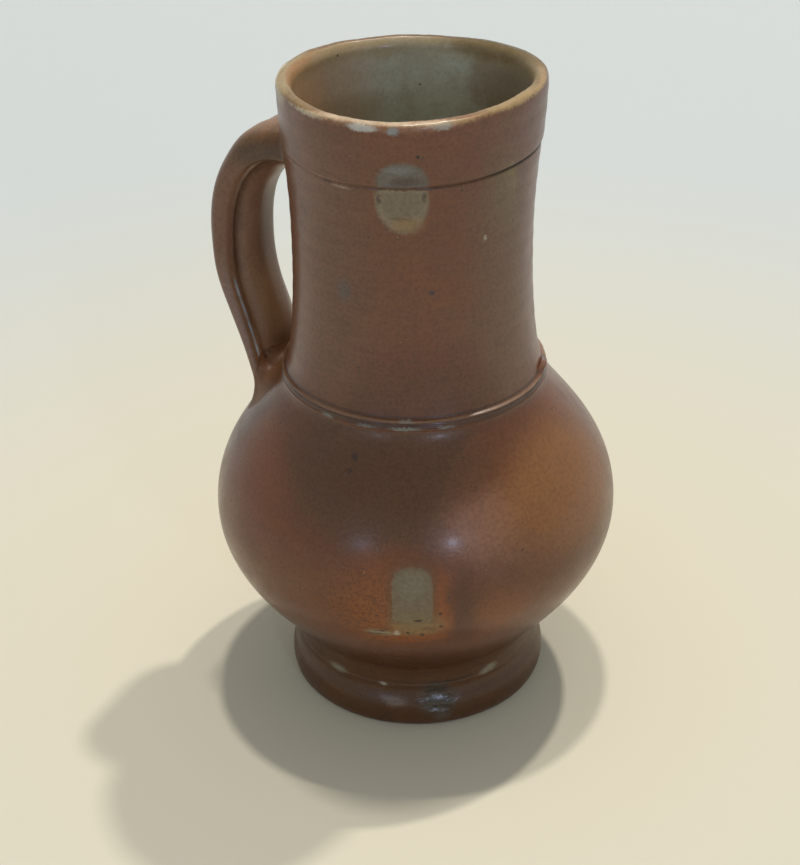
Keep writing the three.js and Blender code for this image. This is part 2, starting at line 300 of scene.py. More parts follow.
# Belly: thrown bowl with its floor, wall and shoulder
bellyPot = {
    "wall": 4.5,
    "floor": 8.0,
    "innerSeam": 28.05,
    "wobble": 0.1,
    "scars": [
        {"turn": -66, "level": 51.0, "across": 4.7, "up": 9.8, "above": 46, "depth": 0.3},
        {"turn": -65, "level": 45.4, "across": 5.6, "up": 3.4, "depth": 0.22},
    ],
}


def makeBelly(glaze):
    seam = jug["seamLevel"]
    inner = [spot for spot in inset(bellySide, bellyPot["wall"]) if 20 < spot.z < seam - 3]
    heel = inner[0]
    low = bellyPot["floor"]
    bowl = bend(
        at(0, low), at(heel.x * 0.45, low),
        at(heel.x * 0.8, low + (heel.z - low) * 0.35), heel, 18,
    )
    top = inner[-1]
    inside = joined(bowl, inner, bend(
        top, top + (top - inner[-2]).normalized() * 2,
        at(bellyPot["innerSeam"], seam - 2), at(bellyPot["innerSeam"], seam), 5,
    ))
    base = foot["seat"]  # the underside lies a hair above the resting face, inside the foot ring
    profile = joined(
        [at(0, 0.15), at(8, 0.15), at(16, 0.15), at(base + 0.1, 0.1), at(base + 0.1, 11)],
        [at(30.9, 11), at(jug["waistRadius"] - 0.1, 12.4)],
        bellySide,
        [at(32.2, seam + 0.5), at(28.4, seam + 0.5)],
        list(reversed(inside)),
    )
    mesh = turnedOnWheel(profile, 256, False)
    for vertex in mesh.verts:
        spot = vertex.co
        if spot.z < 15 or math.hypot(spot.x, spot.y) < 27:
            continue
        free = blendUp(spot.z, 15, 20) * (1 - blendUp(spot.z, 84, 88))
        amount = bellyPot["wobble"] * free * noise.noise(spot * 0.05)
        if spot.y < 0 and math.hypot(spot.x, spot.y) > 38:
            amount -= max(carved(spot, scar) for scar in bellyPot["scars"])
        vertex.co = pushedOut(spot, amount)
    return finished("thrownBelly", mesh, "belly", glaze)


# Neck: thrown collar with its turned rim band, the incised line and the rounded lip
neckPot = {
    "wall": 3.5,
    "lip": 3.8,
    "lineWidth": 0.34,
    "lineDepth": 0.6,
    "ringPitch": 5.2,
    "ringDepth": 0.035,
    "lipWobble": 0.2,
    "scars": [
        {"turn": -68.7, "level": 151.4, "across": 5.6, "up": 4.7, "above": 150.1, "depth": 0.26},
        {"turn": -69, "level": 146.4, "across": 5.9, "up": 8.3, "below": 149.3, "depth": 0.28},
    ],
}


def lineStrength(turn):
    # The incised line is pressed hardest on the right of the jug and nearly fades on the left.
    strong = 0.5 + 0.5 * math.cos(math.radians(turn - 10))
    return 0.1 + 0.9 * strong ** 1.5


def makeNeck(glaze):
    rim, waist, seam = jug["rimLevel"], jug["neckWaistLevel"], jug["seamLevel"]
    line = jug["lineLevel"]
    lipLevel = rim - jug["lipRise"]
    upperRise, lowerRise = rim - waist, waist - seam
    # rows half a millimetre apart near the incised line, and an eighth apart at it
    outside = [spot for spot in neckSide if spot.z < 136]
    outside += [at(radiusAt(neckSide, z / 2), z / 2) for z in range(273, 297)]
    outside += [at(radiusAt(neckSide, line + z / 8), line + z / 8) for z in range(-9, 12)]
    outside += [at(radiusAt(neckSide, z / 2), z / 2) for z in range(303, 316)]
    outside += [spot for spot in neckSide if spot.z > 158]
    outside = [
        at(spot.x + jug["bandStep"] * blendUp(spot.z, line - 0.2, line + 0.6), spot.z)
        for spot in outside
    ]
    half = neckPot["lip"] / 2
    lip = []
    for step in range(1, 20):
        turn = math.pi * step / 20
        outerShare = blendUp(math.cos(turn), -0.6, 0.6)
        square = 1.0 - 0.5 * outerShare
        reach = half * math.copysign(abs(math.cos(turn)) ** square, math.cos(turn))
        rise = jug["lipRise"] * math.sin(turn) ** square
        lip.append(at(jug["rimRadius"] - half + reach, lipLevel + rise))
    mouthInner = jug["rimRadius"] - neckPot["lip"]
    waistInner = jug["neckWaistRadius"] - neckPot["wall"]
    seamInner = bellyPot["innerSeam"]
    inside = joined(
        bend(
            at(mouthInner, lipLevel), at(mouthInner - 0.6, waist + upperRise * 0.55),
            at(waistInner, waist + upperRise * 0.375), at(waistInner, waist), 26,
        ),
        bend(
            at(waistInner, waist), at(waistInner, waist - lowerRise * 0.5),
            at(seamInner, seam + lowerRise * 0.3), at(seamInner, seam), 18,
        ),
    )
    profile = joined(
        [at(32.2, seam - 0.5)], outside, lip, inside, [at(28.4, seam - 0.5)],
    )
    mesh = turnedOnWheel(profile, 240, True)
    for vertex in mesh.verts:
        spot = vertex.co
        turn = math.degrees(math.atan2(spot.y, spot.x))
        outer = math.hypot(spot.x, spot.y) > radiusAt(neckSide, spot.z) - 0.6
        free = blendUp(spot.z, seam + 2, seam + 6)
        amount = free * 0.08 * noise.noise(spot * 0.07)
        amount += free * neckPot["ringDepth"] * math.sin(
            2 * math.pi * (spot.z / neckPot["ringPitch"] + turn / 360) + 2 * noise.noise(spot * 0.03)
        )
        if outer and spot.z < lipLevel:
            away = (spot.z - line) / neckPot["lineWidth"]
            amount -= neckPot["lineDepth"] * lineStrength(turn) * math.exp(-away * away)
            amount -= max(carved(spot, scar) for scar in neckPot["scars"])
        lipShare = blendUp(spot.z, lipLevel - 1, rim)
        amount += neckPot["lipWobble"] * lipShare * noise.noise(spot * 0.16 + Vector((7, 3, 1)))
        spot = pushedOut(spot, amount)
        spot.z += lipShare * neckPot["lipWobble"] * (
            noise.noise(spot * 0.13) + 0.4 * noise.noise(spot * 0.9) - 0.5
        )
        vertex.co = spot
    return finished("thrownNeck", mesh, "neck", glaze)


# Cordon: two pressed beads over the joint, with the strip's ends lapped at the right
cordon = {
    "low": 88.0,
    "high": 92.1,
    "fineLevel": 89.2,
    "fineProud": 0.3,
    "fineWidth": 0.32,
    "mainLevel": 91.2,
    "mainProud": 0.8,
    "mainWidth": 0.27,
    "lapTurn": 14.4,
    "lapReach": 7.0,
    "lapProud": 0.35,
    "lapRise": 1.1,
}


def wallRadius(level):
    return radiusAt(bellySide if level < jug["seamLevel"] else neckSide, level)


def cordonProud(level):
    fine = (level - cordon["fineLevel"]) / cordon["fineWidth"]
    main = (level - cordon["mainLevel"]) / cordon["mainWidth"]
    return cordon["fineProud"] * math.exp(-fine * fine) + cordon["mainProud"] * math.exp(-main * main)


def makeCordon(glaze):
    low, high = cordon["low"], cordon["high"]
    steps = 56
    face = []
    for step in range(steps + 1):
        level = low + (high - low) * step / steps
        sunk = 0.12 * (1 - blendUp(level, low, low + 0.5) * (1 - blendUp(level, high - 0.5, high)))
        face.append(at(wallRadius(level) + cordonProud(level) - sunk, level))
    mesh = turnedOnWheel(joined([at(31.9, 90)], face), 288, True)
    for vertex in mesh.verts:
        spot = vertex.co
        radius = math.hypot(spot.x, spot.y)
        if radius < 32:
            continue
        turn = math.degrees(math.atan2(spot.y, spot.x))
        proud = max(radius - wallRadius(spot.z), 0)
        lap = math.exp(-((turnGap(turn, cordon["lapTurn"]) / cordon["lapReach"]) ** 2))
        uneven = 1 + 0.22 * noise.noise(Vector((spot.x, spot.y, 0)) * 0.12) + 0.15 * noise.noise(spot * 0.6)
        amount = proud * (uneven - 1) + lap * cordon["lapProud"] * blendUp(spot.z, low, low + 2)
        upper = blendUp(spot.z, 90, 91.5)
        spot = pushedOut(spot, amount)
        spot.z += lap * cordon["lapRise"] * upper + 0.12 * noise.noise(Vector((spot.x, spot.y, 5)) * 0.1)
        vertex.co = spot
    return finished("neckCordon", mesh, "neck_cordon", glaze)


# Pulled strap handle: rounded borders, a finger channel outside, and on the side towards the neck a swell
# between two creases
strap = {
    "rootLevel": 144.7,
    "crownRadius": 47.5,
    "crownLevel": 117.0,
    "landingLevel": 79.8,
    "reach": 18.2,
    "lift": 0.9,
    "lean": 3.4,
    "width": 24.3,
    "tipWidth": 23.4,
    "thickness": 12.1,
    "tipThickness": 4.4,
    "roundness": 0.66,
    "channel": 0.8,
    "arch": 0.95,
    "archShare": 0.125,
    "archReach": 0.048,
    "rootThin": 1.3,
    "swell": 1.65,
    "lowSwell": 0.8,
    "step": 0.42,
    "crease": 0.5,
    "creaseAcross": 0.65,
    "creaseWidth": 0.09,
    "sides": 96,
    "steps": 120,
}


def strapLine():
    root = at(radiusAt(neckSide, strap["rootLevel"]) - 2, strap["rootLevel"])
    crown = at(strap["crownRadius"], strap["crownLevel"])
    landing = at(radiusAt(bellySide, strap["landingLevel"]) - 0.3, strap["landingLevel"])
    rise, fall = root.z - crown.z, crown.z - landing.z
    upper = bend(
        root, root + at(strap["reach"] * 0.56, strap["lift"]),
        at(crown.x, crown.z + rise * 0.77), crown, 200,
    )
    lower = bend(
        crown, at(crown.x, crown.z - fall * 0.35),
        at(landing.x + strap["lean"], landing.z + fall * 0.52), landing, 200,
    )
    tail = landing + (lower[-1] - lower[-2]).normalized() * 3
    return joined(upper, lower, [landing.lerp(tail, step / 10) for step in range(1, 11)])


middleLine = strapLine()
lineLengths = [0.0]
for nearer, further in zip(middleLine, middleLine[1:]):
    lineLengths.append(lineLengths[-1] + (further - nearer).length)
strapLength = lineLengths[-1]


def onLine(share):
    goal = min(max(share, 0), 1) * strapLength
    low, high = 0, len(lineLengths) - 1
    while high - low > 1:
        middle = (low + high) // 2
        if lineLengths[middle] <= goal:
            low = middle
        else:
            high = middle
    step = (goal - lineLengths[low]) / (lineLengths[high] - lineLengths[low])
    return middleLine[low].lerp(middleLine[high], step)


def strapPoint(share, c, s):
    # share runs from root to landing, and (c, s) lies on the unit circle round the section.
    centre = onLine(share)
    along = (onLine(share + 0.004) - onLine(share - 0.004)).normalized()
    halfWidth = (strap["width"] + (strap["tipWidth"] - strap["width"]) * share) / 2
    halfThickness = (strap["thickness"] + (strap["tipThickness"] - strap["thickness"]) * share) / 2
    squareC = math.copysign(abs(c) ** strap["roundness"], c)
    squareS = math.copysign(abs(s) ** strap["roundness"], s)
    across = abs(squareC)
    if s > 0:
        hollow = strap["channel"] * (1 - across * across) ** 2
        fuller = math.exp(-(((share - strap["archShare"]) / strap["archReach"]) ** 2))
        hollow -= strap["arch"] * fuller * blendUp(squareC, -0.45, 0.1)
    else:
        crown = 1 - min(across / strap["creaseAcross"], 1) ** (2.4 if squareC > 0 else 6)
        hollow = halfThickness * (strap["step"] - 0.14 * share)
        crease = (across - strap["creaseAcross"]) / strap["creaseWidth"]
        hollow += strap["crease"] * math.exp(-crease * crease)
        hollow *= 1 - 0.5 * blendUp(share, 0.88, 1)
        hollow += strap["rootThin"] * (1 - blendUp(share, 0.03, 0.2))
        swell = strap["swell"] + strap["lowSwell"] * blendUp(share, 0.25, 0.55)
        swell += halfThickness * (strap["step"] - 0.14 * share)
        hollow -= swell * crown * (1 - 0.7 * blendUp(share, 0.8, 1.0))
    hollow = min(hollow, halfThickness * 0.6)
    outward = squareS * (halfThickness - hollow)
    return Vector((-(centre.x - along.z * outward), -halfWidth * squareC, centre.z + along.x * outward))


def makeHandle(glaze):
    mesh = straightTube(strap["sides"], strap["steps"], True)
    for vertex in mesh.verts:
        spot = vertex.co
        size = math.hypot(spot.x, spot.y)
        bent = strapPoint(0.5 - spot.z, spot.x / size, spot.y / size)
        bent += Vector((1, 1, 1)) * 0.12 * noise.noise(bent * 0.08)
        vertex.co = bent
    bmesh.ops.recalc_face_normals(mesh, faces=mesh.faces[:])
    return finished("strapHandle", mesh, "handle", glaze)


# Clay worked round the two ends of the handle, smoothed out on the strap and on the wall
rootClay = {
    "name": "rootLuting",
    "node": "handle_root_luting",
    "end": 0,
    "legOut": 1.3,
    "legIn": 1.1,
    "legCorner": 0,
}
landingClay = {
    "name": "landingLuting",
    "node": "handle_landing_luting",
    "end": 1,
    "legOut": 4.6,
    "legIn": 5.6,
    "legCorner": 3,
}
wallSide = joined(
    [spot for spot in bellySide if spot.z < 88],
    [at(wallRadius(88 + step / 8) + cordonProud(88 + step / 8), 88 + step / 8) for step in range(33)],
    [spot for spot in neckSide if spot.z > 92.2],
)


def outsideWall(spot):
    return math.hypot(spot.x, spot.y) - radiusAt(wallSide, spot.z)


def ontoWall(spot, sunk):
    scale = (radiusAt(wallSide, spot.z) - sunk) / math.hypot(spot.x, spot.y)
    return Vector((spot.x * scale, spot.y * scale, spot.z))


def wallNormal(spot):
    slope = (radiusAt(wallSide, spot.z + 1) - radiusAt(wallSide, spot.z - 1)) / 2
    radius = math.hypot(spot.x, spot.y)
    return Vector((spot.x / radius, spot.y / radius, -slope)).normalized()


def strapNormal(share, turn):
    around = strapPoint(share, math.cos(turn + 0.02), math.sin(turn + 0.02))
    around -= strapPoint(share, math.cos(turn - 0.02), math.sin(turn - 0.02))
    along = strapPoint(share + 0.005, math.cos(turn), math.sin(turn))
    along -= strapPoint(share - 0.005, math.cos(turn), math.sin(turn))
    return around.cross(along).normalized()


def claySection(clay, turn, steps):
    # One section of the worked clay: sunk corner, foot on the wall, free face, foot on the strap
    c, s = math.cos(turn), math.sin(turn)
    buried, clear = clay["end"], 0.5
    for halving in range(30):
        middle = (buried + clear) / 2
        if outsideWall(strapPoint(middle, c, s)) > 0:
            clear = middle
        else:
            buried = middle
    leg = clay["legIn"] + (clay["legOut"] - clay["legIn"]) * (1 + s) / 2
    leg += clay["legCorner"] * 2 * abs(c) * max(-s, 0)
    away = 1 if clay["end"] == 0 else -1
    meeting = strapPoint(clear, c, s)
    out = strapNormal(clear, turn)
    up = wallNormal(meeting)
    spread = (out - up * out.dot(up)).normalized()
    wallFoot = ontoWall(meeting + spread * leg, 0.02)
    strapShare = clear + away * leg / strapLength
    strapFoot = strapPoint(strapShare, c, s) - strapNormal(strapShare, turn) * 0.02
    wallPull = ontoWall(meeting + spread * leg * 0.45, -0.02) - wallFoot
    strapPull = strapPoint(clear + away * leg * 0.45 / strapLength, c, s) - strapFoot
    face = bend(wallFoot, wallFoot + wallPull, strapFoot + strapPull, strapFoot, steps - 3)
    sunkCorner = meeting - (out + up) * 0.5
    sunkWall = wallFoot - wallNormal(wallFoot) * 0.4
    sunkStrap = strapFoot - strapNormal(strapShare, turn) * 0.4
    return [sunkCorner, sunkWall] + list(face) + [sunkStrap]


def makeClay(clay, glaze):
    rounds, steps = 96, 16
    mesh = straightTube(rounds, steps, False)
    ends = [edge for edge in mesh.edges if edge.is_boundary]
    sections = {}
    for vertex in mesh.verts:
        turn = math.atan2(vertex.co.y, vertex.co.x)
        key = round(turn * rounds / (2 * math.pi) * 2)
        if key not in sections:
            sections[key] = claySection(clay, turn, steps)
        vertex.co = sections[key][round((vertex.co.z + 0.5) * steps)]
    bmesh.ops.bridge_loops(mesh, edges=ends)
    bmesh.ops.recalc_face_normals(mesh, faces=mesh.faces[:])
    for edge in mesh.edges:
        edge.smooth = edge.calc_face_angle(0) < 0.7
    return finished(clay["name"], mesh, clay["node"], glaze)


# Materials
def hexColour(code):
    parts = [int(code[i:i + 2], 16) / 255 for i in (1, 3, 5)]
    linear = [part / 12.92 if part <= 0.04045 else ((part + 0.055) / 1.055) ** 2.4 for part in parts]
    return (*linear, 1.0)


def addNode(tree, kind, values=None, **settings):
    node = tree.nodes.new(kind)
    for name, value in settings.items():
        setattr(node, name, value)
    for socket, value in (values or {}).items():
        if isinstance(value, bpy.types.NodeSocket):
            tree.links.new(value, node.inputs[socket])
        else:
            node.inputs[socket].default_value = value
    return node


def perSize(size):
    return 1 / (size * millimetre)  # pattern scale for features of this many millimetres


# Salt-glazed brown stoneware: vitrified clay under a thin glaze of salt vapour. To the eye it is a satin
# reddish brown with a fine orange peel, mottled by iron, with darker and more orange places where the
# flame reached it. Pattern sizes are those of the real features, in millimetres. Some washes and marks
# are painted shade and painted highlights, said where they stand.
saltGlaze = {
    "patterns": {  # feature size, detail, roughness
        "broad": (34, 3, 0.55),
        "cloudy": (7, 4, 0.6),
        "mottled": (0.9, 3, 0.6),
        "peel": (0.8, 2, 0.5),
        "turned": (8, 3, 0.6),
    },
    "turnedFlat": 12,  # the wheel's lines are this much flatter than they are long, about 0.7 mm apart
    "turnedColour": "#b9a79a",
    "ragged": 1.3,
    "dotSpacing": 3.2,  # a pinhole or a grain of grit lies in about one cell of nine this wide
    "ior": 1.45,
    "coatRough": 0.15,
}
smooth = {"interpolation_type": "SMOOTHSTEP"}


def area(turn, level, radius, across, up, colour=None, edge=0.6, **look):
    # One place on the glaze, with half its width and height, its colour, and how softly it ends
    return dict(
        look, turn=turn, level=level, radius=radius, across=across, up=up, colour=colour, edge=edge,
    )


def ring(level, up, colour, **look):
    return area(0, level, 0, 60, up, colour, through=60, **look)


def patchMask(tree, place, patch):
    # 1 inside an ellipsoid that sits on the pot's surface, 0 outside it
    turn = math.radians(patch["turn"])
    centre = Vector((patch["radius"] * math.cos(turn), patch["radius"] * math.sin(turn), patch["level"]))
    edge = patch["edge"]
    reach = Vector((patch.get("through", 6), patch["across"], patch["up"])) * (1 + edge)
    local = addNode(tree, "ShaderNodeMapping", {
        "Vector": place,
        "Location": centre * millimetre,
        "Rotation": (0, 0, turn),
        "Scale": reach * millimetre,
    }, vector_type="TEXTURE").outputs[0]
    if patch.get("square"):
        local = addNode(tree, "ShaderNodeVectorMath", {0: local, 1: local}, operation="MULTIPLY").outputs[0]
    ball = addNode(tree, "ShaderNodeTexGradient", {"Vector": local}, gradient_type="SPHERICAL")
    mask = addNode(tree, "ShaderNodeMapRange", {
        0: ball.outputs[1], 1: 0, 2: 2 * edge / (1 + edge), 3: 0, 4: patch.get("strength", 1),
    }, **smooth).outputs[0]
    for side, way in (("above", 0.3), ("below", -0.3)):
        if side in patch:
            parts = addNode(tree, "ShaderNodeSeparateXYZ", {0: place})
            kept = addNode(tree, "ShaderNodeMapRange", {
                0: parts.outputs[2],
                1: (patch[side] - way) * millimetre,
                2: (patch[side] + way) * millimetre,
            }, **smooth).outputs[0]
            mask = addNode(tree, "ShaderNodeMath", {0: mask, 1: kept}, operation="MULTIPLY").outputs[0]
    return mask


def painted(tree, colour, layers, mode="MIX"):
    # Lays colours over a colour, each with the share of it that shows.
    for share, over in layers:
        layer = addNode(
            tree, "ShaderNodeMix", {0: share, 6: colour, 7: over}, data_type="RGBA", blend_type=mode,
        )
        colour = layer.outputs[2]
    return colour


def patched(tree, colour, place, patches):
    layers = [(patchMask(tree, place, patch), hexColour(patch["colour"])) for patch in patches]
    return painted(tree, colour, layers)


def pushedAbout(tree, place, pattern, distance):
    # Moves places by a noise pattern, so that the edge of a patch laid there wanders.
    centred = addNode(tree, "ShaderNodeVectorMath", {0: pattern, 1: (0.5, 0.5, 0.5)}, operation="SUBTRACT")
    push = addNode(tree, "ShaderNodeVectorMath", {
        0: centred.outputs[0], "Scale": distance * millimetre,
    }, operation="SCALE").outputs[0]
    return addNode(tree, "ShaderNodeVectorMath", {0: place, 1: push}, operation="ADD").outputs[0]


def makePatterns(tree, place):
    flat = addNode(tree, "ShaderNodeMapping", {"Vector": place, "Scale": (1, 1, saltGlaze["turnedFlat"])})
    patterns = {}
    for name, (size, detail, roughness) in saltGlaze["patterns"].items():
        patterns[name] = addNode(tree, "ShaderNodeTexNoise", {
            "Vector": flat.outputs[0] if name == "turned" else place,
            "Scale": perSize(size),
            "Detail": detail,
            "Roughness": roughness,
        })
    return patterns


def glazeInside(tree, look, coords, softPlace, patterns, dark):
    # The share of the surface that faces the jug's axis, and the colour it has there
    plan = addNode(tree, "ShaderNodeVectorMath", {
        0: coords.outputs["Object"], 1: (1, 1, 0),
    }, operation="MULTIPLY")
    plan = addNode(tree, "ShaderNodeVectorMath", {0: plan.outputs[0]}, operation="NORMALIZE")
    facing = addNode(tree, "ShaderNodeVectorMath", {
        0: plan.outputs[0], 1: coords.outputs["Normal"],
    }, operation="DOT_PRODUCT")
    inward = addNode(tree, "ShaderNodeMapRange", {
        0: facing.outputs["Value"], 1: -0.1, 2: -0.75,
    }, **smooth).outputs[0]
    cloud = addNode(tree, "ShaderNodeMapRange", {
        0: patterns["cloudy"].outputs[0], 1: 0.4, 2: 0.65,
    }, **smooth).outputs[0]
    colour = painted(tree, hexColour(look["inside"]), [(cloud, hexColour(look["insideCloud"]))])
    colour = patched(tree, colour, softPlace, look["insideWashes"])
    faint = addNode(tree, "ShaderNodeMath", {0: dark, 1: 0.5}, operation="MULTIPLY").outputs[0]
    return inward, painted(tree, colour, [(faint, hexColour(look["mottleColour"]))], "MULTIPLY")


def glazeDots(tree, place):
    # Rare dark pinholes and pale grit, 0.2 to 0.4 mm
    cells = addNode(tree, "ShaderNodeTexVoronoi", {
        "Vector": place, "Scale": perSize(saltGlaze["dotSpacing"]),
    })
    pick = addNode(tree, "ShaderNodeSeparateColor", {0: cells.outputs["Color"]}).outputs[0]
    dots = []
    for test, limit, wide, narrow, most in (
        ("GREATER_THAN", 0.88, 0.12, 0.05, 1.0), ("LESS_THAN", 0.1, 0.08, 0.03, 0.5),
    ):
        chosen = addNode(tree, "ShaderNodeMath", {0: pick, 1: limit}, operation=test).outputs[0]
        dot = addNode(tree, "ShaderNodeMapRange", {
            0: cells.outputs["Distance"], 1: wide, 2: narrow, 3: 0, 4: most,
        }, **smooth).outputs[0]
        dots.append(addNode(tree, "ShaderNodeMath", {0: dot, 1: chosen}, operation="MULTIPLY").outputs[0])
    return dots


def glazed(name, look):
    material = bpy.data.materials.new(name)
    material.use_nodes = True
    tree = material.node_tree
    shader = tree.nodes["Principled BSDF"]
    coords = addNode(tree, "ShaderNodeTexCoord")
    place = coords.outputs["Object"]
    patterns = makePatterns(tree, place)
    cloudy, mottled, turned = (patterns[kind].outputs for kind in ("cloudy", "mottled", "turned"))
    softPlace = pushedAbout(tree, place, cloudy[1], look["wander"])
    raggedPlace = pushedAbout(tree, place, mottled[1], saltGlaze["ragged"])

    drift = addNode(tree, "ShaderNodeMapRange", {
        0: patterns["broad"].outputs[0], 1: 0.36, 2: 0.64,
    }, **smooth).outputs[0]
    cloud = addNode(tree, "ShaderNodeMapRange", {
        0: cloudy[0], 1: 0.42, 2: 0.66, 3: 0, 4: look["cloudShare"],
    }, **smooth).outputs[0]
    colour = painted(tree, hexColour(look["base"]), [
        (drift, hexColour(look["drift"])), (cloud, hexColour(look["cloud"])),
    ])
    colour = patched(tree, colour, softPlace, look["washes"])

    # fine iron mottling, about a millimetre across, denser where the flame freckled the pot
    dark = addNode(tree, "ShaderNodeMapRange", {
        0: mottled[0], 1: 0.58, 2: 0.36, 3: 0, 4: look["mottle"],
    }, **smooth).outputs[0]
    for patch in look.get("freckled", []):
        denser = addNode(tree, "ShaderNodeMath", {
            0: patchMask(tree, softPlace, patch), 1: 1.0,
        }, operation="ADD").outputs[0]
        dark = addNode(tree, "ShaderNodeMath", {0: dark, 1: denser}, operation="MULTIPLY").outputs[0]

    # faint turning lines left by the wheel
    lines = addNode(tree, "ShaderNodeMapRange", {
        0: turned[0], 1: 0.4, 2: 0.62, 3: 0, 4: look["lines"],
    }, **smooth).outputs[0]
    colour = painted(tree, colour, [
        (dark, hexColour(look["mottleColour"])), (lines, hexColour(saltGlaze["turnedColour"])),
    ], "MULTIPLY")

    # kiln scars, worn places and stains, with painted shade in grooves and painted highlights on edges and
    # ridges, each with a grain of their own
    roughness = addNode(tree, "ShaderNodeMapRange", {
        0: cloudy[0], 1: 0.3, 2: 0.7, 3: look["rough"] - 0.05, 4: look["rough"] + 0.07,
    }).outputs[0]
    covered = 0.0
    for patch in look["marks"]:
        mask = patchMask(tree, place if patch.get("clean") else raggedPlace, patch)
        colour = painted(tree, colour, [(mask, hexColour(patch["colour"]))])
        covered = addNode(tree, "ShaderNodeMath", {0: covered, 1: mask}, operation="MAXIMUM").outputs[0]
        if "rough" in patch:
            roughness = addNode(tree, "ShaderNodeMix", {
                0: mask, 2: roughness, 3: patch["rough"],
            }, data_type="FLOAT").outputs[0]
    grain = addNode(tree, "ShaderNodeMapRange", {
        0: mottled[0], 1: 0.36, 2: 0.64, 3: 0.84, 4: 1.04,
    }, **smooth).outputs[0]
    grained = addNode(tree, "ShaderNodeVectorMath", {0: colour, "Scale": grain}, operation="SCALE")
    colour = painted(tree, colour, [(covered, grained.outputs[0])])

    if "inside" in look:
        inward, within = glazeInside(tree, look, coords, softPlace, patterns, dark)
        colour = painted(tree, colour, [(inward, within)])
        roughness = addNode(tree, "ShaderNodeMix", {
            0: inward, 2: roughness, 3: look["insideRough"],
        }, data_type="FLOAT").outputs[0]
    # painted highlights along ridges, laid over the inside colour too
    colour = patched(tree, colour, place, look.get("runs", []))

    pinhole, grit = glazeDots(tree, place)
    colour = painted(tree, colour, [(pinhole, hexColour(look["speck"])), (grit, hexColour(look["grit"]))])

    height = addNode(tree, "ShaderNodeMath", {
        0: turned[0], 1: 0.3, 2: patterns["peel"].outputs[0],
    }, operation="MULTIPLY_ADD").outputs[0]
    height = addNode(tree, "ShaderNodeMath", {
        0: pinhole, 1: -1.2, 2: height,
    }, operation="MULTIPLY_ADD").outputs[0]
    bump = addNode(tree, "ShaderNodeBump", {
        "Height": height, "Strength": 1.0, "Distance": look["peel"] * millimetre,
    })

    tree.links.new(colour, shader.inputs["Base Color"])
    tree.links.new(roughness, shader.inputs["Roughness"])
    tree.links.new(bump.outputs[0], shader.inputs["Normal"])
    shader.inputs["IOR"].default_value = saltGlaze["ior"]
    shader.inputs["Coat Weight"].default_value = look["coat"]
    shader.inputs["Coat Roughness"].default_value = saltGlaze["coatRough"]
    print(name, "mixed:", len(tree.nodes), "nodes")
    return material


def alongLip(first, last, step, patch):
    # Broken pale places that follow the ring of the lip: partly worn glaze, partly painted highlight
    worn = []
    for turn in range(first, last, step):
        strength = patch["strength"] * (0.72 + 0.28 * math.sin(turn * 1.7))
        worn.append(dict(patch, turn=turn, strength=strength))
    return worn


# the lip's pale edge: partly worn glaze, partly painted highlight
lipWearAndHighlight = alongLip(-172, -104, 4, area(
    0, 164.6, 31.5, 2.4, 0.75, "#dccdab", through=0.6, strength=0.95,
))
lipWearAndHighlight += alongLip(-104, -44, 5, area(
    0, 165.0, 30.7, 2.6, 0.8, "#d6bd9c", through=0.9, strength=0.9,
))
lipWearAndHighlight += alongLip(-44, 40, 7, area(
    0, 165.0, 30.9, 2.6, 0.8, "#b59468", through=0.9, edge=0.7, strength=0.8,
))

